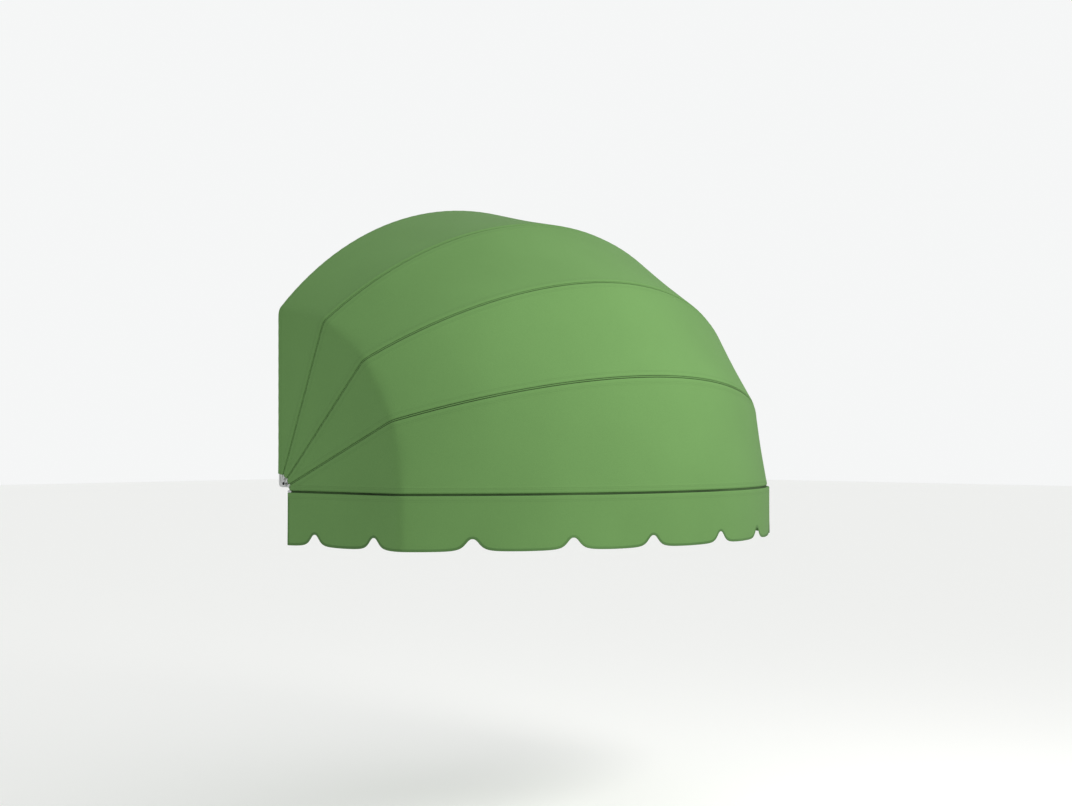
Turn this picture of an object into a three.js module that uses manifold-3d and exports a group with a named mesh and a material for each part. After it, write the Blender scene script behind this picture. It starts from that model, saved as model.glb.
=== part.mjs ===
// A round-fronted folding window awning: five alike bows fan out from one pair of wall hinges,
// with a taut fabric gore between each two and a scalloped valance under the front bow.
// Millimetres, +Z up. The origin is on the wall plane, midway between the hinges and level with
// the open front bow. X runs along the wall and the awning stands out towards -Y.

import * as THREE from "three";
import { mergeVertices } from "three/addons/utils/BufferGeometryUtils.js";
import Module from "manifold-3d";

const wasm = await Module();
wasm.setup();

// Driving dimensions

const halfWidth = 915; // from the middle to the seam line on either side
const bowNames = ["wall_bow", "bow_1", "bow_2", "bow_3", "front_bow"];
const bowStep = Math.PI / 8; // angle between neighbouring bows when the canopy is open
const archRadius = 1254; // the bowed front of every bow, at the seam line
const archCentre = -253.5; // of that arch, measured along the bow from the hub line
const cornerRadius = 44.5; // where an arm turns into the arch
const hubFromWall = 12; // all the bows' lines meet on the hub line, this far off the wall
const pinOut = 20; // the hinge pin, out and up from the hub line
const pinUp = 26;

const fit = 0.3; // gap left between pieces that touch
const tubeThick = 9; // bow tube, across the plane of the bow
const tubeDeep = 20; // and in that plane
const tubeWall = 1.9;
const tubeChamfer = 0.8;
const grooveDeep = 5.4; // the keder groove in the tube's outer face
const grooveFloor = 1.6;
const faceInside = 2.4; // the tube's outer face lies this far inside the seam line
const tubeMiddle = faceInside + tubeDeep / 2;
const tubeStart = 61.3; // the arm tubes begin this far from the hub line
const socketLength = 12; // straight ends of a corner piece
const spigotLength = 28; // of the tongues that slide into the tubes
const spigotPlay = 0.4;

const plateThick = 3; // hinge plates, stacked side by side on the pin
const platePitch = 3.4;
const fingerWide = 9;
const collarLong = 5;
const eyeRadius = 7.5;
const pinRadius = 3;
const pinHole = 3.25;
const kneeAt = 46; // from the hub line to where a moving bow's plate turns into line with its arm

const clothThick = 2;
const hubCut = 58; // the gores stop this far from the hub line
const seamGap = 0.5; // from a gore's edge to the bow's plane
const rearWrap = 4.5; // the rear gore wraps back over the wall bow
const frontGap = 3; // from the front gore's edge to the front bow's plane

const valanceTop = 3; // below the front bow's plane
const valanceBottom = 178;
const valanceProud = 8; // the valance's back face from the seam line
const valanceStart = 57; // from the hub line
const hemDeep = 15; // the valance's thick top hem
const hemClear = 1.6; // from the hem to the front bow's face
const notchRise = 36.5; // bell-shaped notches in the valance's lower edge
const notchHalf = 26; // half a notch's width, halfway up it
const notchPower = 2.6;
const notchPlaces = [195, 487, 836, 1170, 1478, 1828, 2145, 2450, 2799, 3091]; // along the valance

const tubeSteps = 21; // flats round an arch tube, odd so that one lies at its crown
const clothSteps = 20; // and round a gore's arch
const cornerSteps = 4;

// Materials

const finish = (color, roughness, metalness) => {
  return new THREE.MeshStandardMaterial({ color, roughness, metalness });
};
const aluminium = finish("#c9cac8", 0.4, 0.8);
const castAluminium = finish("#b9bab8", 0.5, 0.75);
const darkSteel = finish("#2b2c2b", 0.4, 0.7);
const steel = finish("#a9abac", 0.3, 0.9);
const nylon = finish("#d9d8d2", 0.5, 0);
const cloth = finish("#66974f", 0.85, 0);

// Solids: three.js makes every shape, manifold only joins and cuts them

function toSolid(geometry) {
  const bare = geometry.clone();
  bare.deleteAttribute("normal");
  bare.deleteAttribute("uv");
  const merged = mergeVertices(bare, 1e-4);
  const mesh = new wasm.Mesh({
    numProp: 3,
    vertProperties: new Float32Array(merged.attributes.position.array),
    triVerts: new Uint32Array(merged.index.array),
  });
  return new wasm.Manifold(mesh);
}

function toGeometry(solid) {
  const mesh = solid.getMesh();
  const geometry = new THREE.BufferGeometry();
  geometry.setAttribute("position", new THREE.BufferAttribute(mesh.vertProperties, 3));
  geometry.setIndex(new THREE.BufferAttribute(mesh.triVerts, 1));
  geometry.computeVertexNormals();
  return geometry;
}

function joined(geometries, cuts = []) {
  let solid = toSolid(geometries[0]);
  for (const geometry of geometries.slice(1)) {
    solid = solid.add(toSolid(geometry));
  }
  for (const cut of cuts) {
    solid = solid.subtract(toSolid(cut));
  }
  return toGeometry(solid);
}

function block(x, y, z) {
  const geometry = new THREE.BoxGeometry(x[1] - x[0], y[1] - y[0], z[1] - z[0]);
  return geometry.translate((x[0] + x[1]) / 2, (y[0] + y[1]) / 2, (z[0] + z[1]) / 2);
}

function rodAlongX(radius, x, y, z, sides = 16) {
  const geometry = new THREE.CylinderGeometry(radius, radius, x[1] - x[0], sides);
  geometry.rotateZ(Math.PI / 2);
  return geometry.translate((x[0] + x[1]) / 2, y, z);
}

// A flat bar with round ends, across X, from one (y, z) point to another
function link(from, to, width, x) {
  const length = Math.hypot(to.y - from.y, to.z - from.z);
  const half = width / 2;
  const shape = new THREE.Shape();
  shape.moveTo(0, -half);
  shape.lineTo(length, -half);
  shape.absarc(length, 0, half, -Math.PI / 2, Math.PI / 2, false);
  shape.lineTo(0, half);
  shape.absarc(0, 0, half, Math.PI / 2, Math.PI * 1.5, false);
  const geometry = new THREE.ExtrudeGeometry(shape, {
    depth: x[1] - x[0],
    bevelEnabled: false,
    curveSegments: 6,
  });
  geometry.rotateZ(Math.atan2(to.z - from.z, to.y - from.y));
  const turned = new THREE.Matrix4().set(0, 0, 1, x[0], 1, 0, 0, from.y, 0, 1, 0, from.z, 0, 0, 0, 1);
  return geometry.applyMatrix4(turned);
}

// The same triangles with the corner order reversed
function flipped(geometry) {
  const order = Array.from(geometry.index.array);
  for (let i = 0; i < order.length; i += 3) {
    [order[i + 1], order[i + 2]] = [order[i + 2], order[i + 1]];
  }
  geometry.setIndex(order);
  geometry.computeVertexNormals();
  return geometry;
}

// A left-hand piece made into a right-hand one
function mirrored(geometry) {
  const copy = geometry.clone();
  copy.deleteAttribute("normal");
  copy.deleteAttribute("uv");
  const merged = mergeVertices(copy, 1e-4);
  merged.scale(-1, 1, 1);
  return flipped(merged);
}

// The closed body of a sheet between two faces, each a grid of points: face[i][j]
function sheetBody(back, front) {
  const along = back.length;
  const across = back[0].length;
  const points = [...back.flat(), ...front.flat()];
  const order = [];
  const at = (face, i, j) => face * along * across + i * across + j;
  const quad = (a, b, c, d) => order.push(a, b, c, a, c, d);
  for (let i = 0; i + 1 < along; i += 1) {
    for (let j = 0; j + 1 < across; j += 1) {
      quad(at(1, i, j), at(1, i + 1, j), at(1, i + 1, j + 1), at(1, i, j + 1));
      quad(at(0, i, j), at(0, i, j + 1), at(0, i + 1, j + 1), at(0, i + 1, j));
    }
    const last = across - 1;
    quad(at(1, i + 1, 0), at(1, i, 0), at(0, i, 0), at(0, i + 1, 0));
    quad(at(1, i, last), at(1, i + 1, last), at(0, i + 1, last), at(0, i, last));
  }
  for (let j = 0; j + 1 < across; j += 1) {
    const last = along - 1;
    quad(at(1, 0, j), at(1, 0, j + 1), at(0, 0, j + 1), at(0, 0, j));
    quad(at(1, last, j + 1), at(1, last, j), at(0, last, j), at(0, last, j + 1));
  }
  const geometry = new THREE.BufferGeometry().setFromPoints(points);
  geometry.setIndex(order);
  geometry.computeVertexNormals();
  return toSolid(geometry).volume() > 0 ? geometry : flipped(geometry);
}

// The line of a bow, in its own plane: x across, y away from the hub line. It runs up the left arm,
// round the arch and down the right arm, a given distance inside the seam line.

const cornerX = halfWidth - cornerRadius;
const cornerY = archCentre + Math.sqrt((archRadius - cornerRadius) ** 2 - cornerX ** 2);
const archEnd = Math.atan2(cornerY - archCentre, cornerX); // where the arch meets a corner
const middleAngle = Math.PI / 2;

class BowLine extends THREE.Curve {
  constructor(inside, from = 0, to = null) {
    super();
    this.inside = inside;
    this.corner = (cornerRadius - inside) * archEnd;
    this.halfArch = (archRadius - inside) * (middleAngle - archEnd);
    this.total = 2 * (cornerY + this.corner + this.halfArch);
    this.from = from;
    this.to = to ?? this.total - from;
  }

  // The point at a distance along the line, and the direction away from the bow's inside
  at(distance) {
    const onLeft = distance <= this.total / 2;
    const side = onLeft ? -1 : 1;
    const travelled = onLeft ? distance : this.total - distance;
    let x = halfWidth - this.inside;
    let y = travelled;
    let angle = 0;
    if (travelled > cornerY + this.corner) {
      angle = archEnd + (travelled - cornerY - this.corner) / (archRadius - this.inside);
      x = (archRadius - this.inside) * Math.cos(angle);
      y = archCentre + (archRadius - this.inside) * Math.sin(angle);
    } else if (travelled > cornerY) {
      angle = (travelled - cornerY) / (cornerRadius - this.inside);
      x = cornerX + (cornerRadius - this.inside) * Math.cos(angle);
      y = cornerY + (cornerRadius - this.inside) * Math.sin(angle);
    }
    return { x: side * x, y, outX: side * Math.cos(angle), outY: Math.sin(angle) };
  }

  getPoint(t, target = new THREE.Vector3()) {
    const { x, y } = this.at(this.from + (this.to - this.from) * t);
    return target.set(x, y, 0);
  }
}

// Distances along a line that follow its corners and arch closely enough for flat faces
function outlineStops(line, start) {
  const stops = [start];
  for (let i = 0; i <= cornerSteps; i += 1) {
    stops.push(cornerY + (line.corner * i) / cornerSteps);
  }
  const archStart = cornerY + line.corner;
  for (let i = 1; i <= clothSteps / 2; i += 1) {
    stops.push(archStart + (line.halfArch * 2 * i) / clothSteps);
  }
  const rightHalf = stops.slice(0, -1).map((stop) => line.total - stop);
  return [...stops, ...rightHalf.reverse()];
}

// Bow tubes and their corner pieces

const hollowTop = tubeDeep / 2 - grooveDeep - grooveFloor;
const hollowBottom = -tubeDeep / 2 + tubeWall;

function polygon(Kind, corners) {
  const path = new Kind();
  path.moveTo(...corners[0]);
  for (const corner of corners.slice(1)) {
    path.lineTo(...corner);
  }
  return path;
}

// In a section x is across the plane of the bow and y points away from its inside
function tubeSection() {
  const x = tubeThick / 2;
  const y = tubeDeep / 2;
  const mouth = 1.1;
  const grooveHalf = 2.2;
  const lip = 1.6;
  const section = polygon(THREE.Shape, [
    [mouth, y],
    [mouth, y - lip],
    [grooveHalf, y - lip],
    [grooveHalf, y - grooveDeep],
    [-grooveHalf, y - grooveDeep],
    [-grooveHalf, y - lip],
    [-mouth, y - lip],
    [-mouth, y],
    [-x + tubeChamfer, y],
    [-x, y - tubeChamfer],
    [-x, -y + tubeChamfer],
    [-x + tubeChamfer, -y],
    [x - tubeChamfer, -y],
    [x, -y + tubeChamfer],
    [x, y - tubeChamfer],
    [x - tubeChamfer, y],
  ]);
  const side = x - tubeWall;
  const hollow = [
    [-side, hollowBottom],
    [side, hollowBottom],
    [side, hollowTop],
    [-side, hollowTop],
  ];
  section.holes.push(polygon(THREE.Path, hollow));
  return section;
}

function solidSection() {
  const x = tubeThick / 2;
  const y = tubeDeep / 2;
  return polygon(THREE.Shape, [
    [-x + tubeChamfer, -y],
    [x - tubeChamfer, -y],
    [x, -y + tubeChamfer],
    [x, y - tubeChamfer],
    [x - tubeChamfer, y],
    [-x + tubeChamfer, y],
    [-x, y - tubeChamfer],
    [-x, -y + tubeChamfer],
  ]);
}

function swept(section, from, to, steps) {
  const extrudePath = new BowLine(tubeMiddle, from, to);
  return new THREE.ExtrudeGeometry(section, { steps, extrudePath, bevelEnabled: false });
}

const tubeLine = new BowLine(tubeMiddle);
const armTop = cornerY - socketLength;
const archBottom = cornerY + tubeLine.corner + socketLength;
const archFrom = archBottom + fit;
const archFace = (tubeLine.total - 2 * archFrom) / tubeSteps; // length of each flat of the arch

// A tongue along +Y from y = 0 that fits a left tube's hollow
function spigot() {
  const middle = -(hollowTop + hollowBottom) / 2;
  const deep = (hollowTop - hollowBottom) / 2 - spigotPlay;
  const thick = tubeThick / 2 - tubeWall - spigotPlay;
  return block([middle - deep, middle + deep], [-1, spigotLength], [-thick, thick]);
}

function cornerPiece() {
  const bend = swept(solidSection(), armTop, archBottom, 7);
  const foot = tubeLine.at(armTop);
  const tip = tubeLine.at(archBottom);
  const next = tubeLine.at(archFrom + archFace); // the arch tube is straight up to here
  const intoArm = spigot().rotateX(Math.PI).translate(foot.x, foot.y, 0);
  const intoArch = spigot().rotateZ(Math.atan2(next.y - tip.y, next.x - tip.x) - Math.PI / 2);
  intoArch.translate(tip.x, tip.y, 0);
  return joined([bend, intoArm, intoArch]);
}

// Hinge plates on the ends of the arms. In a bow's own frame y runs along the arm and z across it.

const stackOuter = -halfWidth + faceInside; // the left arms' outer face

function plateSlot(index) {
  const outer = stackOuter + index * platePitch;
  return [outer, outer + plateThick];
}

function throughPlate(radius, x, y, z, sides) {
  return rodAlongX(radius, [x[0] - 1, x[1] + 1], y, z, sides);
}

function hingePlate(index) {
  const angle = index * bowStep;
  const pin = {
    y: pinOut * Math.sin(angle) + pinUp * Math.cos(angle),
    z: pinOut * Math.cos(angle) - pinUp * Math.sin(angle),
  };
  const x = plateSlot(index);
  const half = tubeThick / 2;
  const collarTop = tubeStart - fit;
  const collarFoot = collarTop - collarLong;
  const collar = block([stackOuter, stackOuter + tubeDeep], [collarFoot, collarTop], [-half, half]);
  const tongue = spigot().translate(-halfWidth + tubeMiddle, collarTop, 0);
  const knee = { y: index === 0 ? pin.y : kneeAt, z: 0 };
  const parts = [collar, tongue];
  const cuts = [throughPlate(pinHole, x, pin.y, pin.z)];
  if (index === 0) {
    // the wall bow's plate stands against the wall side and carries the pin on a broad lobe
    const lobeWide = 18;
    const rivetRadius = 1.9;
    parts.push(link(knee, { y: collarFoot, z: 0 }, fingerWide, x));
    parts.push(link({ y: 24, z: 5.5 }, { y: 25, z: pin.z }, lobeWide, x));
    cuts.push(throughPlate(rivetRadius, x, 30, 7, 8));
  } else {
    parts.push(link(pin, knee, fingerWide - 1, x));
    parts.push(rodAlongX(eyeRadius, x, pin.y, pin.z, 24));
    // outside the stack it thickens outwards, to stand level with the arms
    parts.push(link(knee, { y: collarFoot, z: 0 }, fingerWide, [stackOuter, x[1]]));
  }
  return joined(parts, cuts);
}

// Wall brackets, hinge pins and nuts, in the wall's own frame

const pinY = -hubFromWall - pinOut;
const cheek = plateSlot(bowNames.length);

function screwHole(radius, x, z) {
  return new THREE.CylinderGeometry(radius, radius, 12, 16).translate(x, 0, z);
}

function hingeBracket() {
  const noseRadius = 13;
  const flangeWide = 48;
  const flangeFoot = 14;
  const flangeTop = 60;
  const screwInset = 10;
  const screwAside = 31;
  const screwRadius = 3.3;
  const web = block(cheek, [pinY, 0], [pinUp - noseRadius, pinUp + noseRadius]);
  const nose = rodAlongX(noseRadius, cheek, pinY, pinUp, 24);
  const flangeX = [cheek[0], cheek[0] + flangeWide];
  const flange = block(flangeX, [-plateThick, 0], [flangeFoot, flangeTop]);
  const screwHeights = [flangeFoot + screwInset, flangeTop - screwInset];
  const screws = screwHeights.map((z) => screwHole(screwRadius, cheek[0] + screwAside, z));
  return joined([web, nose, flange], [throughPlate(pinHole, cheek, pinY, pinUp), ...screws]);
}

function hingePin() {
  const headRadius = 5;
  const headHigh = 2.6;
  const tip = cheek[1] - stackOuter + 7;
  const profile = polygon(THREE.Path, [
    [0, -headHigh],
    [headRadius - 1.6, -headHigh],
    [headRadius, -headHigh + 1.2],
    [headRadius, -fit],
    [pinRadius, -fit],
    [pinRadius, tip],
    [0, tip],
  ]);
  const turned = new THREE.LatheGeometry(profile.getPoints(), 16);
  const socket = new THREE.CylinderGeometry(1.9, 1.9, 3, 6).translate(0, -headHigh, 0);
  return joined([turned], [socket]).rotateZ(-Math.PI / 2).translate(stackOuter, pinY, pinUp);
}

function lockNut() {
  const x = [cheek[1] + fit, cheek[1] + fit + 5.5];
  const body = rodAlongX(5.77, x, pinY, pinUp, 6);
  return joined([body], [throughPlate(pinHole, x, pinY, pinUp)]);
}

// Saddle clips hold the wall bow's arch to the wall, in the wall bow's own frame: z is the way out

const flatTurn = archFace / (archRadius - tubeMiddle); // from one flat of the arch to the next
const innerFace = (archRadius - tubeMiddle - tubeDeep / 2) * Math.cos(flatTurn / 2);

function saddleClip(tail, holes, turn) {
  const back = -hubFromWall;
  const half = tubeThick / 2;
  const shelf = innerFace - 0.4;
  const clipWide = 30;
  const profile = polygon(THREE.Shape, [
    [back, innerFace - tail],
    [back + 3, innerFace - tail],
    [back + 3, shelf - 3],
    [half + 2, shelf - 3],
    [half + 2, innerFace + 8],
    [half + 0.5, innerFace + 8],
    [half + 0.5, shelf],
    [-half - 0.5, shelf],
    [-half - 0.5, innerFace + 14],
    [back, innerFace + 14],
  ]);
  const body = new THREE.ExtrudeGeometry(profile, { depth: clipWide, bevelEnabled: false });
  body.translate(0, 0, -clipWide / 2).rotateY(-Math.PI / 2);
  const cuts = holes.map((down) => {
    const hole = new THREE.CylinderGeometry(2.8, 2.8, 12, 16).rotateX(Math.PI / 2);
    return hole.translate(0, innerFace - down, back);
  });
  return joined([body], cuts).rotateZ(turn).translate(0, archCentre, 0);
}

// The raising cord's pulley hangs on the crown clip's tail

const wheelY = archCentre + innerFace - 42;
const wheelZ = 4.5;

function pulleyFork() {
  const back = -hubFromWall + 3 + fit;
  const cheekFrom = 5.2;
  const cheekTo = 7.2;
  const high = 11;
  const parts = [block([-cheekTo, cheekTo], [wheelY - high, wheelY + high], [back, back + 2])];
  for (const x of [[-cheekTo, -cheekFrom], [cheekFrom, cheekTo]]) {
    parts.push(block(x, [wheelY - high, wheelY + high], [back, wheelZ]));
    parts.push(rodAlongX(high, x, wheelY, wheelZ, 20));
  }
  return joined(parts, [rodAlongX(2.7, [-10, 10], wheelY, wheelZ)]);
}

function pulleyPin() {
  const shank = rodAlongX(2.5, [-8, 9], wheelY, wheelZ);
  const head = rodAlongX(4, [-9, -7.5], wheelY, wheelZ);
  return joined([shank, head]);
}

function pulleyWheel() {
  const profile = [
    [2.8, -4.5],
    [9.5, -4.5],
    [9.5, -3.2],
    [7, -1],
    [7, 1],
    [9.5, 3.2],
    [9.5, 4.5],
    [2.8, 4.5],
    [2.8, -4.5],
  ];
  const points = profile.map(([radius, height]) => new THREE.Vector2(radius, height));
  const wheel = new THREE.LatheGeometry(points, 16).rotateZ(Math.PI / 2);
  return wheel.translate(0, wheelY, wheelZ);
}

// An eye under the middle of an arch, for the raising cord
function cordEye() {
  const face = archCentre + innerFace - fit;
  const ringRadius = 6;
  const wire = 1.5;
  const foot = block([-7, 7], [face - 2, face], [-3.5, 3.5]);
  const ring = new THREE.TorusGeometry(ringRadius, wire, 6, 12);
  ring.translate(0, face - 1.5 - ringRadius - wire, 0);
  return joined([foot, ring]);
}

// Fabric

// A point of the canopy's frame: along a bow at an angle from the wall, off the seam line by some
// distance, with the off direction taken at another angle
function canopyPoint(spot, angle, off, offAngle) {
  const outwards = spot.outY * off;
  const y = spot.y * Math.sin(angle) + outwards * Math.sin(offAngle);
  const z = spot.y * Math.cos(angle) + outwards * Math.cos(offAngle);
  return new THREE.Vector3(spot.x + spot.outX * off, -hubFromWall - y, z);
}

// A gore stretched straight between two neighbouring bows
function gore(index) {
  const from = index * bowStep;
  const to = from + bowStep;
  const between = (from + to) / 2;
  const line = new BowLine(0);
  const isFirst = index === 0;
  const isLast = index === bowNames.length - 2;
  const face = (off) => outlineStops(line, hubCut).map((stop) => {
    const spot = line.at(stop);
    const start = canopyPoint(spot, from, off, between);
    const end = canopyPoint(spot, to, off, between);
    const across = end.clone().sub(start).normalize();
    const row = isFirst ? [start.clone().add(new THREE.Vector3(0, rearWrap, 0)), start] : [];
    if (!isFirst) {
      row.push(start.addScaledVector(across, seamGap));
    }
    row.push(end.addScaledVector(across, isLast ? -frontGap : -seamGap));
    return row;
  });
  return sheetBody(face(0), face(clothThick));
}

// How far a notch lifts the valance's lower edge at a distance along it
function notchLift(distance) {
  const nearest = Math.min(...notchPlaces.map((notch) => Math.abs(distance - notch)));
  return notchRise / (1 + (nearest / notchHalf) ** notchPower);
}

// The valance hangs from a thick top hem, in the front bow's own frame: z is the way down
function valance() {
  const line = new BowLine(-valanceProud);
  const notchStops = notchPlaces.flatMap((notch) => {
    const shares = [-3, -2, -1.4, -0.9, -0.5, 0, 0.5, 0.9, 1.4, 2, 3];
    return shares.map((share) => notch + share * notchHalf);
  });
  const stops = [...outlineStops(line, valanceStart), ...notchStops].sort((a, b) => a - b);
  const spaced = stops.filter((stop, i) => i === 0 || stop - stops[i - 1] > 1);
  const face = (profile) => spaced.map((stop) => {
    const spot = line.at(stop);
    const bottom = valanceBottom - notchLift(stop);
    return [...profile, [profile.at(-1)[0], bottom]].map(([off, down]) => {
      return new THREE.Vector3(spot.x + spot.outX * off, spot.y + spot.outY * off, down);
    });
  });
  const hemBack = -valanceProud - faceInside + hemClear;
  const back = face([[hemBack, valanceTop], [hemBack, valanceTop + 6], [0, valanceTop + hemDeep]]);
  const front = face([
    [clothThick - 2, valanceTop],
    [clothThick, valanceTop + 2],
    [clothThick, valanceTop + hemDeep],
  ]);
  return sheetBody(back, front);
}

// The awning

const awning = new THREE.Group();

function addPiece(parent, name, geometry, material) {
  const mesh = new THREE.Mesh(geometry, material);
  mesh.name = name;
  parent.add(mesh);
}

function addPair(parent, name, geometry, material) {
  addPiece(parent, `${name}_left`, geometry, material);
  addPiece(parent, `${name}_right`, mirrored(geometry), material);
}

const bows = bowNames.map((name, index) => {
  const bow = new THREE.Group();
  bow.position.y = -hubFromWall;
  bow.rotation.x = Math.PI / 2 + index * bowStep;
  awning.add(bow);
  addPair(bow, `${name}_hinge_plate`, hingePlate(index), castAluminium);
  addPair(bow, `${name}_arm`, swept(tubeSection(), tubeStart, armTop - fit, 1), aluminium);
  addPair(bow, `${name}_corner`, cornerPiece(), castAluminium);
  const arch = swept(tubeSection(), archFrom, tubeLine.total - archFrom, tubeSteps);
  addPiece(bow, `${name}_arch`, arch, aluminium);
  return bow;
});

addPair(awning, "hinge_bracket", hingeBracket(), castAluminium);
addPair(awning, "hinge_pin", hingePin(), darkSteel);
addPair(awning, "hinge_nut", lockNut(), steel);

const shoulder = 7 * flatTurn; // the side clips' angle round the arch
addPiece(bows[0], "wall_clip_left", saddleClip(36, [22], shoulder), aluminium);
addPiece(bows[0], "wall_clip_crown", saddleClip(64, [16, 59], 0), aluminium);
addPiece(bows[0], "wall_clip_right", saddleClip(36, [22], -shoulder), aluminium);
addPiece(bows[0], "cord_pulley_fork", pulleyFork(), steel);
addPiece(bows[0], "cord_pulley_pin", pulleyPin(), steel);
addPiece(bows[0], "cord_pulley_wheel", pulleyWheel(), nylon);

const cordEyes = ["cord_guide_1", "cord_guide_2", "cord_guide_3", "cord_anchor_eye"];
cordEyes.forEach((name, index) => addPiece(bows[index + 1], name, cordEye(), steel));

for (let index = 0; index + 1 < bowNames.length; index += 1) {
  addPiece(awning, `gore_${index + 1}`, gore(index), cloth);
}
addPiece(bows.at(-1), "valance", valance(), cloth);

export default awning;
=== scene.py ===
# A round-fronted folding window awning: the finish of its cloth, tubes and fittings
# Metres, in the part's own frame: X along the wall, the awning stands out towards -Y, Z up
from math import acos, atan2, cos, exp, hypot, pi, radians, sin, sqrt

import bmesh
import bpy
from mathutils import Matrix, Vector
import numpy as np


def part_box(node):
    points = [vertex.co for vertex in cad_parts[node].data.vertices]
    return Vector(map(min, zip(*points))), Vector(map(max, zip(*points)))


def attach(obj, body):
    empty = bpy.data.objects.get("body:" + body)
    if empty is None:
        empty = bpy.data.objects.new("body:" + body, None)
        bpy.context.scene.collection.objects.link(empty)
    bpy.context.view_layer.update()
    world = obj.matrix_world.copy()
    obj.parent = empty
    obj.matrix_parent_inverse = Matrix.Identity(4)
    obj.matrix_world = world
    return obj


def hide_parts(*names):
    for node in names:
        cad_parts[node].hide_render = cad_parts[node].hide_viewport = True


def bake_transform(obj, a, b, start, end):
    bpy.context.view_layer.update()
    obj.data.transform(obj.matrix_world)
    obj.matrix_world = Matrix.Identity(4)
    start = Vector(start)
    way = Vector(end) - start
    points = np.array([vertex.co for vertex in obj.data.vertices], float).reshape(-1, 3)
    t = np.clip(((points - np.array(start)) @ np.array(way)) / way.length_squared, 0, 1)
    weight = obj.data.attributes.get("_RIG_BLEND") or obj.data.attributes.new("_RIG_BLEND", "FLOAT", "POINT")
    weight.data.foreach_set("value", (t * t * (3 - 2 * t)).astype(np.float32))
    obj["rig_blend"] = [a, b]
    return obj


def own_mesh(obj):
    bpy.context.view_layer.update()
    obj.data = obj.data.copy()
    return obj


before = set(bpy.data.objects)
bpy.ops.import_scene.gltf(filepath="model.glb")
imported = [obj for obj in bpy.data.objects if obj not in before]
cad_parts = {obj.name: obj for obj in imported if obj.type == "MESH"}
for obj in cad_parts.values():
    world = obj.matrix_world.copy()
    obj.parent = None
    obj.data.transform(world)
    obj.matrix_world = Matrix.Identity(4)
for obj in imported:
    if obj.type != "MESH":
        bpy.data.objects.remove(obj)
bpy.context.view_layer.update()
print("frame loaded")

bowNames = ["wall_bow", "bow_1", "bow_2", "bow_3", "front_bow"]
bodyNames = ["wall_frame", "bow_1", "bow_2", "bow_3", "front_bow"]

bowShape = {
    "halfWidth": 0.915,  # from the middle to the seam line on either side
    "step": pi / 8,  # between neighbouring bows
    "archRadius": 1.254,
    "archCentre": -0.2535,  # along the bow, from the hub line
    "cornerRadius": 0.0445,
    "hubOut": 0.012,  # the hub line stands this far off the wall
    "faceInside": 0.0024,  # from the seam line in to the tube's outer face
}


# The line of every bow, at some distance outside its seam line

def bowLine(off):
    s = bowShape
    cornerX = s["halfWidth"] - s["cornerRadius"]
    cornerUp = s["archCentre"] + sqrt((s["archRadius"] - s["cornerRadius"]) ** 2 - cornerX ** 2)
    archEnd = atan2(cornerUp - s["archCentre"], cornerX)
    corner = (s["cornerRadius"] + off) * archEnd
    halfArch = (s["archRadius"] + off) * (pi / 2 - archEnd)
    return {
        "off": off,
        "cornerX": cornerX,
        "cornerUp": cornerUp,
        "archEnd": archEnd,
        "corner": corner,
        "halfArch": halfArch,
        "total": 2 * (cornerUp + corner + halfArch),
    }


# The spot at a distance along a line: across, away from the hub line, and the way outwards
def spotAt(line, distance):
    side = -1 if distance <= line["total"] / 2 else 1
    gone = min(distance, line["total"] - distance)
    across = bowShape["halfWidth"] + line["off"]
    up = gone
    angle = 0
    if gone > line["cornerUp"] + line["corner"]:
        radius = bowShape["archRadius"] + line["off"]
        angle = line["archEnd"] + (gone - line["cornerUp"] - line["corner"]) / radius
        across = radius * cos(angle)
        up = bowShape["archCentre"] + radius * sin(angle)
    elif gone > line["cornerUp"]:
        radius = bowShape["cornerRadius"] + line["off"]
        angle = (gone - line["cornerUp"]) / radius
        across = line["cornerX"] + radius * cos(angle)
        up = line["cornerUp"] + radius * sin(angle)
    return side * across, up, side * cos(angle), sin(angle)


def outwards(angle):
    return Vector((0, -sin(angle), cos(angle)))


def pastBow(angle):
    return Vector((0, -cos(angle), -sin(angle)))


# A point beside a bow: off its seam line, and past its plane
def bowPoint(spot, angle, off=0, past=0):
    across, up, outAcross, outUp = spot
    hub = Vector((across + outAcross * off, -bowShape["hubOut"], 0))
    return hub + outwards(angle) * (up + outUp * off) + pastBow(angle) * past


def evenStops(start, end, pitch):
    count = max(1, round((end - start) / pitch))
    return [start + (end - start) * i / count for i in range(count + 1)]


# Distances along a line, closer together round its corners
def bowStops(line, start, pitch, cornerPitch):
    bend = line["cornerUp"] + line["corner"]
    runs = [
        evenStops(start, line["cornerUp"], pitch),
        evenStops(line["cornerUp"], bend, cornerPitch),
        evenStops(bend, line["total"] - bend, pitch),
        evenStops(line["total"] - bend, line["total"] - line["cornerUp"], cornerPitch),
        evenStops(line["total"] - line["cornerUp"], line["total"] - start, pitch),
    ]
    return [stop for k, run in enumerate(runs) for stop in (run if k == 0 else run[1:])]


# Meshes

def pieceFrom(bm, name, material):
    for face in bm.faces:
        face.smooth = True
    mesh = bpy.data.meshes.new(name)
    bm.to_mesh(mesh)
    bm.free()
    mesh.materials.append(material)
    piece = bpy.data.objects.new(name, mesh)
    bpy.context.scene.collection.objects.link(piece)
    return piece


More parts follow.
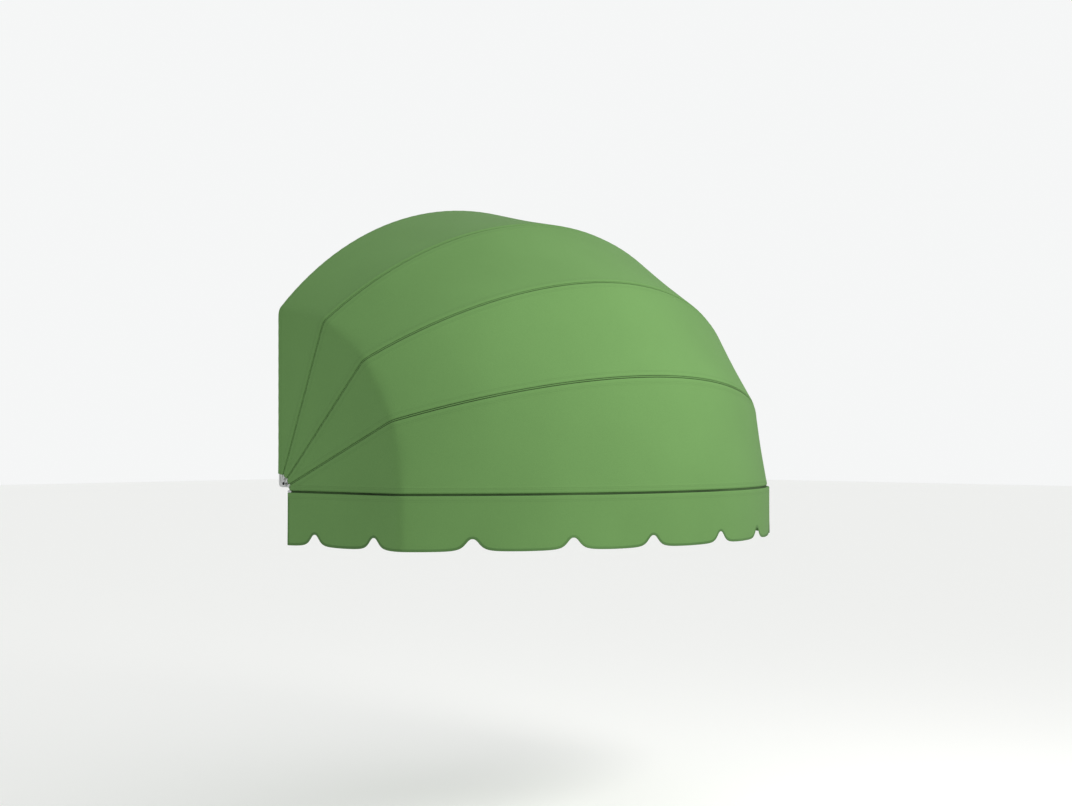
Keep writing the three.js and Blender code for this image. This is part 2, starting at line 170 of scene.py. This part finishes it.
# A grid of cloth or metal: place(i, j) says where its points go, and each map what its UVs hold
def mappedGrid(columns, rows, place, maps):
    bm = bmesh.new()
    bmesh.ops.create_grid(bm, x_segments=columns - 1, y_segments=rows - 1, size=1)
    at = {}
    for vert in bm.verts:
        i = round((vert.co.x + 1) / 2 * (columns - 1))
        j = round((vert.co.y + 1) / 2 * (rows - 1))
        at[vert.index] = (i, j)
    layers = {name: bm.loops.layers.uv.new(name) for name in maps}
    for face in bm.faces:
        for loop in face.loops:
            for name, layer in layers.items():
                loop[layer].uv = maps[name](*at[loop.vert.index])
    for vert in bm.verts:
        vert.co = place(*at[vert.index])
    return bm, at


# A closed bar with one section all along: place(i, j) for each stop and corner of the section
def sweptBar(along, section, place):
    corners = len(section)
    girth = [0]
    for k in range(corners):
        here, there = section[k], section[(k + 1) % corners]
        girth.append(girth[-1] + hypot(there[0] - here[0], there[1] - here[1]))
    around = lambda i, j: (along[i], girth[j])
    bm = mappedGrid(len(along), corners + 1, lambda i, j: place(i, j % corners), {"cloth": around})[0]
    bmesh.ops.remove_doubles(bm, verts=bm.verts, dist=1e-6)
    bmesh.ops.holes_fill(bm, edges=[e for e in bm.edges if e.is_boundary], sides=0)
    bmesh.ops.recalc_face_normals(bm, faces=bm.faces)
    return bm


def solidified(piece, thickness):
    solid = piece.modifiers.new("thickness", "SOLIDIFY")
    solid.thickness = thickness
    solid.offset = -1


# Materials

def linearColour(code):
    values = [int(code[k:k + 2], 16) / 255 for k in (1, 3, 5)]
    return [v / 12.92 if v <= 0.04045 else ((v + 0.055) / 1.055) ** 2.4 for v in values] + [1]


def addNode(tree, kind, settings={}, inputs={}):
    node = tree.nodes.new(kind)
    for name, value in settings.items():
        setattr(node, name, value)
    for name, value in inputs.items():
        if isinstance(value, bpy.types.NodeSocket):
            tree.links.new(value, node.inputs[name])
        else:
            node.inputs[name].default_value = value
    return node


def startMaterial(name, sockets):
    material = bpy.data.materials.new(name)
    material.use_nodes = True
    tree = material.node_tree
    shader = tree.nodes["Principled BSDF"]
    for socket, value in sockets.items():
        shader.inputs[socket].default_value = value
    return material, tree, shader


clothFinish = {
    "colour": "#5A7E48",
    "worn": "#62884F",  # where the sun has bleached it a little
    "thread": 0.0016,  # real threads are 0.5 mm apart, drawn coarser so that they show
    "weaveDeep": 0.00012,
    "stitchLong": 0.0045,
    "stitchLines": (0.013, 0.018),  # from the edge of the cloth
    "stitchWide": 0.0007,
    "stitchRun": 0.78,  # this share of each stitch's length is thread
    "stitchDark": -0.16,
    "stitchHigh": 1.2,  # against the weave's own height
    "fadeScale": 2.6,  # bleached patches to the metre
    "yarnScale": 420.0,
}


# Woven acrylic: dyed through, so matt and even, with a soft sheen at a glance along it
def wovenAcrylic(name, colour, stitched=True):
    c = clothFinish
    material, tree, shader = startMaterial(name, {
        "Roughness": 0.86,
        "IOR": 1.49,
        "Specular IOR Level": 0.1,
        "Sheen Weight": 0.02,
        "Sheen Roughness": 0.5,
    })
    uv = addNode(tree, "ShaderNodeUVMap", {"uv_map": "cloth"}).outputs["UV"]
    count = 1 / c["thread"]
    threads = addNode(tree, "ShaderNodeMapping", {}, {"Vector": uv, "Scale": (count, count, 1)})
    split = addNode(tree, "ShaderNodeSeparateXYZ", {}, {"Vector": threads.outputs[0]})
    crests = []
    for axis in ("X", "Y"):
        turn = addNode(tree, "ShaderNodeMath", {"operation": "MULTIPLY"}, {0: split.outputs[axis], 1: pi})
        wave = addNode(tree, "ShaderNodeMath", {"operation": "SINE"}, {0: turn.outputs[0]})
        crests.append(addNode(tree, "ShaderNodeMath", {"operation": "ABSOLUTE"}, {0: wave.outputs[0]}))
    over = addNode(tree, "ShaderNodeTexChecker", {}, {"Vector": threads.outputs[0], "Scale": 1.0})
    weave = addNode(tree, "ShaderNodeMix", {"data_type": "FLOAT"}, {
        0: over.outputs["Fac"], 2: crests[0].outputs[0], 3: crests[1].outputs[0],
    }).outputs[0]

    place = addNode(tree, "ShaderNodeTexCoord").outputs["Object"]
    fade = addNode(tree, "ShaderNodeTexNoise", {}, {
        "Vector": place, "Scale": c["fadeScale"], "Detail": 3.0,
    })
    fadeShare = addNode(tree, "ShaderNodeMapRange", {}, {
        "Value": fade.outputs["Fac"], "From Min": 0.35, "From Max": 0.7, "To Min": 0.0, "To Max": 0.35,
    })
    yarn = addNode(tree, "ShaderNodeTexNoise", {}, {
        "Vector": place, "Scale": c["yarnScale"], "Detail": 2.0,
    })
    body = addNode(tree, "ShaderNodeMix", {"data_type": "RGBA"}, {
        0: fadeShare.outputs[0], 6: linearColour(colour), 7: linearColour(c["worn"]),
    })
    shade = addNode(tree, "ShaderNodeMapRange", {}, {"Value": weave, "To Min": 0.88, "To Max": 1.03})
    grain = addNode(tree, "ShaderNodeMapRange", {}, {
        "Value": yarn.outputs["Fac"], "From Min": 0.3, "From Max": 0.7, "To Min": 0.95, "To Max": 1.05,
    })
    both = addNode(tree, "ShaderNodeMath", {"operation": "MULTIPLY"}, {
        0: shade.outputs[0], 1: grain.outputs[0],
    })
    height = weave
    tone = both.outputs[0]
    if stitched:
        hem = addNode(tree, "ShaderNodeUVMap", {"uv_map": "hem"}).outputs["UV"]
        edge = addNode(tree, "ShaderNodeSeparateXYZ", {}, {"Vector": hem})
        beat = addNode(tree, "ShaderNodeMath", {"operation": "DIVIDE"}, {
            0: edge.outputs["X"], 1: c["stitchLong"],
        })
        part = addNode(tree, "ShaderNodeMath", {"operation": "FRACT"}, {0: beat.outputs[0]})
        run = addNode(tree, "ShaderNodeMath", {"operation": "LESS_THAN"}, {
            0: part.outputs[0], 1: c["stitchRun"],
        })
        lines = []
        for line in c["stitchLines"]:
            lines.append(addNode(tree, "ShaderNodeMath", {"operation": "COMPARE"}, {
                0: edge.outputs["Y"], 1: line, 2: c["stitchWide"],
            }).outputs[0])
        either = addNode(tree, "ShaderNodeMath", {"operation": "ADD"}, {0: lines[0], 1: lines[1]})
        stitch = addNode(tree, "ShaderNodeMath", {"operation": "MULTIPLY"}, {
            0: either.outputs[0], 1: run.outputs[0],
        })
        dark = addNode(tree, "ShaderNodeMath", {"operation": "MULTIPLY_ADD"}, {
            0: stitch.outputs[0], 1: c["stitchDark"], 2: 1.0,
        })
        tone = addNode(tree, "ShaderNodeMath", {"operation": "MULTIPLY"}, {
            0: tone, 1: dark.outputs[0],
        }).outputs[0]
        height = addNode(tree, "ShaderNodeMath", {"operation": "MULTIPLY_ADD"}, {
            0: stitch.outputs[0], 1: c["stitchHigh"], 2: height,
        }).outputs[0]
    tint = addNode(tree, "ShaderNodeMix", {"data_type": "RGBA", "blend_type": "MULTIPLY"}, {
        0: 1.0, 6: body.outputs[2], 7: tone,
    })
    bump = addNode(tree, "ShaderNodeBump", {}, {
        "Strength": 0.6, "Distance": c["weaveDeep"], "Height": height,
    })
    tree.links.new(tint.outputs[2], shader.inputs["Base Color"])
    tree.links.new(bump.outputs[0], shader.inputs["Normal"])
    return material


# A metal with a fine grain in its gloss and colour
def metal(name, colour, roughness, grain, uneven=0.08, deep=0.00003):
    material, tree, shader = startMaterial(name, {"Metallic": 1.0, "Roughness": roughness})
    place = addNode(tree, "ShaderNodeTexCoord").outputs["Object"]
    noise = addNode(tree, "ShaderNodeTexNoise", {}, {
        "Vector": place, "Scale": 1 / grain, "Detail": 3.0,
    })
    gloss = addNode(tree, "ShaderNodeMapRange", {}, {
        "Value": noise.outputs["Fac"], "To Min": roughness - uneven, "To Max": roughness + uneven,
    })
    shade = addNode(tree, "ShaderNodeMapRange", {}, {
        "Value": noise.outputs["Fac"], "To Min": 0.93, "To Max": 1.05,
    })
    tint = addNode(tree, "ShaderNodeMix", {"data_type": "RGBA", "blend_type": "MULTIPLY"}, {
        0: 1.0, 6: linearColour(colour), 7: shade.outputs[0],
    })
    bump = addNode(tree, "ShaderNodeBump", {}, {
        "Strength": 0.3, "Distance": deep, "Height": noise.outputs["Fac"],
    })
    tree.links.new(tint.outputs[2], shader.inputs["Base Color"])
    tree.links.new(gloss.outputs[0], shader.inputs["Roughness"])
    tree.links.new(bump.outputs[0], shader.inputs["Normal"])
    return material


# Moulded nylon: an off-white plastic with a soft gloss and a very fine, even skin
def mouldedNylon():
    material, tree, shader = startMaterial("moulded_nylon", {"Roughness": 0.42, "IOR": 1.53})
    place = addNode(tree, "ShaderNodeTexCoord").outputs["Object"]
    noise = addNode(tree, "ShaderNodeTexNoise", {}, {"Vector": place, "Scale": 900.0, "Detail": 2.0})
    tint = addNode(tree, "ShaderNodeMix", {"data_type": "RGBA"}, {
        0: noise.outputs["Fac"], 6: linearColour("#D8D6CE"), 7: linearColour("#E4E2DB"),
    })
    bump = addNode(tree, "ShaderNodeBump", {}, {
        "Strength": 0.2, "Distance": 0.00003, "Height": noise.outputs["Fac"],
    })
    tree.links.new(tint.outputs[2], shader.inputs["Base Color"])
    tree.links.new(bump.outputs[0], shader.inputs["Normal"])
    return material


awningCloth = wovenAcrylic("woven_acrylic_awning_cloth", clothFinish["colour"])
bindingTape = wovenAcrylic("woven_acrylic_binding_tape", "#47673A", stitched=False)
weltCloth = wovenAcrylic("woven_acrylic_welt_cloth", clothFinish["colour"], stitched=False)
# The seam tape's dark green is painted shade: the shadow down in the bow grooves and in the gap above the
# valance
grooveShadeCloth = wovenAcrylic("woven_acrylic_seam_tape_painted_shade", "#2B3D24", stitched=False)
# Anodised extrusions: pale, even and satin. Die casting: duller and a little rougher.
# Black oxide: dark, with a low oily gloss. Zinc plating: brighter, with an uneven gloss.
anodised = metal("anodised_aluminium", "#C9CBCB", 0.36, 0.0012)
castMetal = metal("die_cast_aluminium", "#B9BBBA", 0.48, 0.0008, uneven=0.1, deep=0.00006)
blackOxide = metal("black_oxide_steel", "#2B2C2D", 0.42, 0.0009)
zincPlate = metal("zinc_plated_steel", "#AEB1B2", 0.3, 0.002, uneven=0.1)
nylon = mouldedNylon()

slotMaterials = {
    "canopy_fabric": awningCloth,
    "bow_tube": anodised,
    "cast_fitting": castMetal,
    "dark_bolt": blackOxide,
    "zinc_steel": zincPlate,
    "nylon": nylon,
}
print("materials made")

# Gores: each a sheet stretched straight between two bows, its hems rolled down beside the seams

goreCloth = {
    "proud": 0.002,  # its face stands this far outside the seam lines
    "drop": 0.0036,  # how far the hem rolls down towards the tube
    "roll": 0.006,
    "armEdge": 0.0028,  # from a hem to its bow's plane, along the arms
    "archEdge": 0.004,  # and over the arch
    "frontEdge": 0.003,  # and to the front bow's
    "rearWrap": 0.0045,  # the rear gore goes back over the wall bow
    "lap": 0.022,  # the hem is doubled this wide
    "lapThick": 0.0005,
    "sag": 0.0025,
    "pucker": 0.00028,
    "puckerPitch": 0.043,
    "puckerReach": 0.014,  # the puckers are down to a third this far from the hem
    "lapEdge": 0.0015,  # half the width over which the doubled hem steps down
    "fullWide": 0.39,  # the width that the sag is given for
    "hubCut": 0.0585,
    "hubFade": 0.09,  # the puckers start this far beyond it
    "creaseSoft": 0.04,  # the corner crease spreads this far midway between bows
    "thickness": 0.0009,
    "held": 0.0035,  # this much beside a bow turns with it
    "pitch": 0.011,
    "cornerPitch": 0.004,
}
hemReach = [
    0, 0.0002, 0.0007, 0.0015, 0.0027, 0.0042, 0.006, 0.009, 0.013, 0.0175, 0.0205, 0.022, 0.0235, 0.027,
]
middleRows = 22


def hemHeight(reach, roll):
    g = goreCloth
    inside = max(0, 1 - reach / roll)
    lapEnd = g["lap"] * roll / g["roll"]
    edge = g["lapEdge"]
    lap = min(1, max(0, (lapEnd + edge - reach) / (2 * edge)))
    return g["proud"] - g["drop"] * (1 - sqrt(1 - inside ** 2)) + g["lapThick"] * lap * lap * (3 - 2 * lap)


def eased(value):
    value = min(1, max(0, value))
    return value * value * (3 - 2 * value)


# Hems lie close beside the seam on the arms, and a little apart over the arch
def hemEdge(line, stop):
    g = goreCloth
    gone = min(stop, line["total"] - stop)
    share = eased((gone - line["cornerUp"] + 0.05) / (line["corner"] + 0.1))
    return g["armEdge"] + (g["archEdge"] - g["armEdge"]) * share


# A spot averaged over a stretch of the line, where the cloth turns its corner in a wider crease
def softSpot(line, stop, spread):
    total = [0, 0, 0, 0]
    for k, weight in enumerate((1, 4, 6, 4, 1)):
        spot = spotAt(line, stop + (k - 2) / 2 * spread)
        total = [held + value * weight / 16 for held, value in zip(total, spot)]
    size = hypot(total[2], total[3])
    return total[0], total[1], total[2] / size, total[3] / size


def goreSheet(index):
    g = goreCloth
    rear = index * bowShape["step"]
    front = rear + bowShape["step"]
    between = (rear + front) / 2
    line = bowLine(0)
    stops = bowStops(line, g["hubCut"], g["pitch"], g["cornerPitch"])
    hems = len(hemReach)
    rows = 2 * hems + middleRows
    shares = {}

    # where row j lies between the two bows: past the rear bow's plane, and from the nearest hem
    def across(stop, j):
        wide = 2 * spotAt(line, stop)[1] * sin(bowShape["step"] / 2)
        rearEdge = -g["rearWrap"] if index == 0 else hemEdge(line, stop)
        frontEdge = g["frontEdge"] if index == 3 else hemEdge(line, stop)
        cloth = wide - rearEdge - frontEdge
        scale = min(1, cloth / 2 / (hemReach[-1] * 1.05))
        low = hemReach[-1] * scale
        if j < hems:
            reach = hemReach[j] * scale
            return wide, rearEdge + reach, reach, scale
        if j >= hems + middleRows:
            reach = hemReach[rows - 1 - j] * scale
            return wide, wide - frontEdge - reach, reach, scale
        share = (j - hems + 1) / (middleRows + 1)
        past = rearEdge + low + share * (cloth - 2 * low)
        return wide, past, min(past - rearEdge, wide - frontEdge - past), scale

    def place(i, j):
        stop = stops[i]
        wide, past, reach, scale = across(stop, j)
        betweenBows = sin(pi * min(1, max(0, past / wide)))
        spot = softSpot(line, stop, g["creaseSoft"] * betweenBows)
        start = bowPoint(spot, rear)
        end = bowPoint(spot, front)
        way = (end - start).normalized() if past > 0 else pastBow(rear)
        height = hemHeight(reach, g["roll"] * scale)
        height -= g["sag"] * betweenBows ** 2 * wide / g["fullWide"]
        pulled = eased((min(stop, line["total"] - stop) - g["hubCut"]) / g["hubFade"])
        wave = sin(2 * pi * stop / g["puckerPitch"] + 1.7 * index)
        height += g["pucker"] * pulled * exp(-reach / g["puckerReach"]) * wave
        held = g["held"]
        shares[i, j] = min(1, max(0, (past - held) / (wide - 2 * held)))
        normal = Vector((spot[2], 0, 0)) + outwards(between) * spot[3]
        return start + way * past + normal * height

    maps = {
        "cloth": lambda i, j: (stops[i], across(stops[i], j)[1] + index),
        "hem": lambda i, j: (stops[i], across(stops[i], j)[2]),
    }
    bm, at = mappedGrid(len(stops), rows, place, maps)
    bm.normal_update()
    middle = min(bm.faces, key=lambda face: abs(face.calc_center_median().x))
    if middle.normal.dot(outwards(between)) < 0:
        bmesh.ops.reverse_faces(bm, faces=bm.faces)
    area = sum(face.calc_area() for face in bm.faces)
    piece = pieceFrom(bm, f"gore_cloth_{index + 1}", awningCloth)
    solidified(piece, g["thickness"])
    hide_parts(f"gore_{index + 1}")

    # the cloth turns evenly from one bow to the next, along the straight lines between them
    spotStart = bowPoint(spotAt(line, line["total"] / 2), rear)
    spotEnd = bowPoint(spotAt(line, line["total"] / 2), front)
    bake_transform(piece, bodyNames[index], bodyNames[index + 1], start=spotStart, end=spotEnd)
    weights = piece.data.attributes["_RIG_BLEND"]
    for vert in piece.data.vertices:
        weights.data[vert.index].value = shares[at[vert.index]]
    widest = max(across(stop, rows - 1)[1] - across(stop, 0)[1] for stop in stops)


# Bow arches: the tube's section, with its keder groove, spun round the arch

archTube = {
    "thick": 0.009,
    "deep": 0.02,
    "chamfer": 0.0011,
    "mouth": 0.0011,
    "grooveHalf": 0.0022,
    "lip": 0.0016,
    "grooveDeep": 0.0054,
    "steps": 120,
}


def archPiece(index):
    t = archTube
    angle = index * bowShape["step"]
    low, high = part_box(f"{bowNames[index]}_arch")
    radius = bowShape["archRadius"] - bowShape["faceInside"]
    centre = Vector((0, -bowShape["hubOut"], 0)) + outwards(angle) * bowShape["archCentre"]
    end = acos(high.x / radius)
    half = t["thick"] / 2
    ch = t["chamfer"]
    # x past the bow's plane, y inside the tube's outer face
    section = [
        (t["mouth"], 0), (t["mouth"], t["lip"]), (t["grooveHalf"], t["lip"]),
        (t["grooveHalf"], t["grooveDeep"]), (-t["grooveHalf"], t["grooveDeep"]),
        (-t["grooveHalf"], t["lip"]), (-t["mouth"], t["lip"]), (-t["mouth"], 0),
        (-half + ch, 0), (-half + ch * 0.3, ch * 0.3), (-half, ch),
        (-half, t["deep"] - ch), (-half + ch * 0.3, t["deep"] - ch * 0.3), (-half + ch, t["deep"]),
        (half - ch, t["deep"]), (half - ch * 0.3, t["deep"] - ch * 0.3), (half, t["deep"] - ch),
        (half, ch), (half - ch * 0.3, ch * 0.3), (half - ch, 0),
    ]
    bm = bmesh.new()
    start = Vector((cos(end), 0, 0)) + outwards(angle) * sin(end)
    verts = [bm.verts.new(centre + start * (radius - y) + pastBow(angle) * x) for x, y in section]
    edges = [bm.edges.new((verts[k - 1], verts[k])) for k in range(len(verts))]
    bmesh.ops.spin(
        bm, geom=verts + edges, cent=centre, axis=pastBow(angle), angle=pi - 2 * end,
        steps=t["steps"], use_duplicate=False,
    )
    bmesh.ops.holes_fill(bm, edges=[e for e in bm.edges if e.is_boundary], sides=0)
    bmesh.ops.recalc_face_normals(bm, faces=bm.faces)
    piece = pieceFrom(bm, f"{bowNames[index]}_tube", anodised)
    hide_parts(f"{bowNames[index]}_arch")
    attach(piece, bodyNames[index])


for index in range(len(bowNames)):
    archPiece(index)
print("arches made")

for index in range(4):
    goreSheet(index)
print("gores made")

# Seams: a tape covers each bow's groove, and a welt cord's cover stands along its middle,
# apart from the front bow's, which lies under the valance's hem. The tape's dark green is painted shade,
# standing in for the shadow down in the groove and in the gap above the valance

seamTape = {
    "half": 0.0044,
    "flap": 0.0085,  # the front bow's tape reaches this far down, behind the valance's hem
    "top": -0.0018,
    "foot": -0.0023,
    "start": 0.0608,
    "pitch": 0.012,
    "cornerPitch": 0.005,
}
seamWelt = {
    "half": 0.0018,
    "top": 0.0008,
    "foot": -0.0017,
}


def seamPiece(index, name, section, material):
    t = seamTape
    angle = index * bowShape["step"]
    line = bowLine(0)
    stops = bowStops(line, t["start"], t["pitch"], t["cornerPitch"])

    def place(i, j):
        past, off = section[j]
        return bowPoint(spotAt(line, stops[i]), angle, off, past)

    bm = sweptBar(stops, section, place)
    piece = pieceFrom(bm, f"{name}_{index}", material)
    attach(piece, bodyNames[index])


def flatSection(low):
    half, top, foot = seamTape["half"], seamTape["top"], seamTape["foot"]
    return [(-half, foot), (-half, top), (low, top), (low, foot)]


def roundSection():
    half, top, foot = seamWelt["half"], seamWelt["top"], seamWelt["foot"]
    crown = []
    for k in range(9):
        turn = pi - pi * k / 8
        crown.append((half * cos(turn), top - half * (1 - sin(turn))))
    return [(-half, foot)] + crown + [(half, foot)]


for index in range(1, len(bowNames)):
    isFront = index == len(bowNames) - 1
    low = seamTape["flap"] if isFront else seamTape["half"]
    # the tape's dark colour is painted shade for the shadowed groove
    seamPiece(index, "seam_tape", flatSection(low), grooveShadeCloth)
    if not isFront:
        seamPiece(index, "seam_welt", roundSection(), weltCloth)
print("seams made")

# Valance: one long strip hung under the front bow from a thick hem, with a scalloped lower edge

valanceCloth = {
    "outside": 0.0098,  # its face, outside the seam line
    "hemBack": -0.0014,
    "hemTop": -0.0032,
    "hemLow": -0.019,
    "bottom": -0.178,
    "round": 0.0026,
    "start": 0.057,
    "notches": (0.195, 0.487, 0.836, 1.170, 1.478, 1.828, 2.145, 2.450, 2.799, 3.091),
    "notchRise": 0.04,
    "notchHalf": 0.026,  # half a notch's width, halfway up it
    "notchPower": 2.6,
    "endRound": 0.003,
    "sway": 0.0012,
    "swayPitch": 0.31,
    "thickness": 0.0009,
    "pitch": 0.009,
    "notchPitch": 0.0025,
    "rows": 18,
}
tape = {"wide": 0.0085, "thick": 0.0016, "pitch": 0.004}

valanceLine = bowLine(valanceCloth["outside"])


def lowerEdge(stop):
    v = valanceCloth
    apart = min(abs(stop - place) for place in v["notches"]) / v["notchHalf"]
    lift = v["notchRise"] / (1 + apart ** v["notchPower"])
    fromEnd = min(stop, valanceLine["total"] - stop) - v["start"]
    if fromEnd < v["endRound"]:
        lift += v["endRound"] - sqrt(v["endRound"] ** 2 - (v["endRound"] - max(0, fromEnd)) ** 2)
    return v["bottom"] + lift


# how far the cloth sways out of its plane, nothing at the hem and most at the lower edge
def sway(stop, z):
    v = valanceCloth
    hung = max(0, (v["hemLow"] - z) / (v["hemLow"] - v["bottom"]))
    return v["sway"] * hung ** 1.5 * sin(2 * pi * stop / v["swayPitch"] + 0.6)


def valancePoint(stop, z, off=0):
    across, up, outAcross, outUp = spotAt(valanceLine, stop)
    off += sway(stop, z)
    return Vector((across + outAcross * off, -bowShape["hubOut"] - up - outUp * off, z))


def valanceStops():
    v = valanceCloth
    stops = bowStops(valanceLine, v["start"], v["pitch"], 0.005)
    stops += evenStops(v["start"], v["start"] + v["endRound"], 0.0015)
    end = valanceLine["total"] - v["start"]
    stops += evenStops(end - v["endRound"], end, 0.0015)
    for place in v["notches"]:
        stops += evenStops(place - 3 * v["notchHalf"], place + 3 * v["notchHalf"], v["notchPitch"])
    kept = []
    for stop in sorted(stops):
        if not kept or stop - kept[-1] > 0.0006:
            kept.append(stop)
    return kept


def valanceSheet():
    v = valanceCloth
    stops = valanceStops()
    back = v["hemBack"] - v["outside"]
    r = v["round"]
    top = v["hemTop"]
    # the hem from where it is sewn on, up its back, over its rounded top and down its face
    hem = [(-0.0016, v["hemLow"] - 0.001), (-0.0022, v["hemLow"] + 0.003), (back, top - 0.0085)]
    for k in range(5):
        turn = pi - pi / 2 * k / 4
        hem.append((back + r + r * cos(turn), top - r + r * sin(turn)))
    for k in range(6):
        turn = pi / 2 - pi / 2 * k / 5
        hem.append((-r + r * cos(turn), top - r + r * sin(turn)))
    hem.append((0, top - 0.009))
    hem.append((0, v["hemLow"]))

    def profile(i, j):
        if j < len(hem):
            return hem[j]
        share = (j - len(hem) + 1) / v["rows"]
        return 0, v["hemLow"] + (lowerEdge(stops[i]) - v["hemLow"]) * share

    def place(i, j):
        off, z = profile(i, j)
        return valancePoint(stops[i], z, off)

    maps = {
        "cloth": lambda i, j: (stops[i], profile(i, j)[1]),
        "hem": lambda i, j: (stops[i], abs(profile(i, j)[1] - v["hemLow"]) + 0.0155),
    }
    bm = mappedGrid(len(stops), len(hem) + v["rows"], place, maps)[0]
    bm.normal_update()
    front = max(bm.faces, key=lambda face: -face.calc_center_median().y)
    if front.normal.y > 0:
        bmesh.ops.reverse_faces(bm, faces=bm.faces)
    area = sum(face.calc_area() for face in bm.faces)
    piece = pieceFrom(bm, "valance_cloth", awningCloth)
    solidified(piece, v["thickness"])
    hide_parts("valance")
    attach(piece, "front_bow")
    length = valanceLine["total"] - 2 * v["start"]
    width = v["hemTop"] - v["bottom"] + (v["outside"] - v["hemBack"]) + (v["hemTop"] - v["hemLow"])
    print("valance", round(width, 3), round(length, 3), round(area, 4))
    return piece, width, length, area


# The tape folded over the valance's lower edge and up its two ends
def bindingPiece():
    v = valanceCloth
    start = v["start"]
    end = valanceLine["total"] - start
    path = []
    stop = start
    while stop < end:
        path.append((stop, lowerEdge(stop)))
        slope = abs(lowerEdge(stop + 0.0005) - lowerEdge(stop)) / 0.0005
        stop += tape["pitch"] / hypot(1, min(slope, 6))
    path.append((end, lowerEdge(end)))
    topEnd = v["hemLow"] + 0.002
    low = path[0][1]
    leftEnd = [(start, topEnd + (low - topEnd) * k / 30) for k in range(30)]
    rightEnd = [(end, low + (topEnd - low) * (k + 1) / 30) for k in range(30)]
    path = leftEnd + path + rightEnd

    # each step's way along the edge, and the way into the cloth beside it
    ways = []
    for k in range(len(path)):
        before = path[max(0, k - 1)]
        after = path[min(len(path) - 1, k + 1)]
        run, rise = after[0] - before[0], after[1] - before[1]
        size = hypot(run, rise)
        ways.append((-rise / size, run / size))

    half = tape["thick"] / 2
    wide = tape["wide"]
    section = [(wide, half * 0.6), (wide - 0.0006, half), (0.0012, half), (0, half * 0.5)]
    section += [(-0.0002, -half * 0.5), (0.0012, -half), (wide - 0.0006, -half), (wide, -half * 0.6)]
    middle = -v["thickness"] / 2

    def place(i, j):
        inwards, off = section[j]
        stop, z = path[i]
        return valancePoint(stop + ways[i][0] * inwards, z + ways[i][1] * inwards, middle + off)

    along = [k * tape["pitch"] for k in range(len(path))]
    bm = sweptBar(along, section, place)
    piece = pieceFrom(bm, "valance_binding", bindingTape)
    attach(piece, "front_bow")
    return piece


valance, valanceWidth, valanceLength, valanceArea = valanceSheet()
binding = bindingPiece()
for piece in (valance, binding):
    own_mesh(piece)
print("valance made")

# The fittings keep their shapes and take their finishes

for name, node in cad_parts.items():
    for materialSlot in node.material_slots:
        slotName = materialSlot.material.name.split(".")[0] if materialSlot.material else ""
        materialSlot.material = slotMaterials.get(slotName, castMetal)
print("fittings finished")

# Floor, lights and camera

stage = {
    "floorLow": -1.15,
    "floorHalf": 40,
    "floorColour": "#F7F7F5",
    "sky": "#FBFCFC",
    "skyStrength": 0.95,
    "lookAt": (0, -0.45, 0.4),  # what the lamp points at
}
keyLight = {
    "azimuth": 5,
    "elevation": 28,
    "away": 2.7,
    "size": 1.1,
    "power": 60,
    "colour": "#FFFEFA",
}
view = {
    "lens": 68.11,
    "sensor": 36,
    "shiftUp": 0.0266,
    "place": (-5.157, -5.346, 0.199),
    "heading": -45.71,
}


def floorPiece():
    bm = bmesh.new()
    bmesh.ops.create_grid(bm, x_segments=4, y_segments=4, size=stage["floorHalf"])
    for vert in bm.verts:
        vert.co.z = stage["floorLow"]
    material = startMaterial("pale_floor", {
        "Base Color": linearColour(stage["floorColour"]), "Roughness": 0.9,
    })[0]
    mesh = bpy.data.meshes.new("pale_floor")
    bm.to_mesh(mesh)
    bm.free()
    mesh.materials.append(material)
    floor = bpy.data.objects.new("pale_floor", mesh)
    bpy.context.scene.collection.objects.link(floor)


def skyLight():
    world = bpy.data.worlds.new("studio")
    world.use_nodes = True
    background = world.node_tree.nodes["Background"]
    background.inputs["Color"].default_value = linearColour(stage["sky"])
    background.inputs["Strength"].default_value = stage["skyStrength"]
    bpy.context.scene.world = world


def softLight(name, settings):
    turn = radians(settings["azimuth"])
    rise = radians(settings["elevation"])
    way = Vector((sin(turn) * cos(rise), -cos(turn) * cos(rise), sin(rise)))
    light = bpy.data.lights.new(name, "AREA")
    light.shape = "DISK"
    light.size = settings["size"]
    light.energy = settings["power"]
    light.color = linearColour(settings["colour"])[:3]
    lamp = bpy.data.objects.new(name, light)
    lamp.visible_camera = False
    lamp.location = Vector(stage["lookAt"]) + way * settings["away"]
    lamp.rotation_euler = (-way).to_track_quat("-Z", "Y").to_euler()
    bpy.context.scene.collection.objects.link(lamp)


floorPiece()
skyLight()
softLight("key", keyLight)

camera = bpy.data.cameras.new("camera")
camera.lens = view["lens"]
camera.sensor_width = view["sensor"]
camera.shift_y = view["shiftUp"]
viewer = bpy.data.objects.new("camera", camera)
viewer.location = view["place"]
viewer.rotation_euler = (radians(90), 0, radians(view["heading"]))
bpy.context.scene.collection.objects.link(viewer)
bpy.context.scene.camera = viewer
bpy.context.scene.view_settings.view_transform = "Standard"
print("scene set")
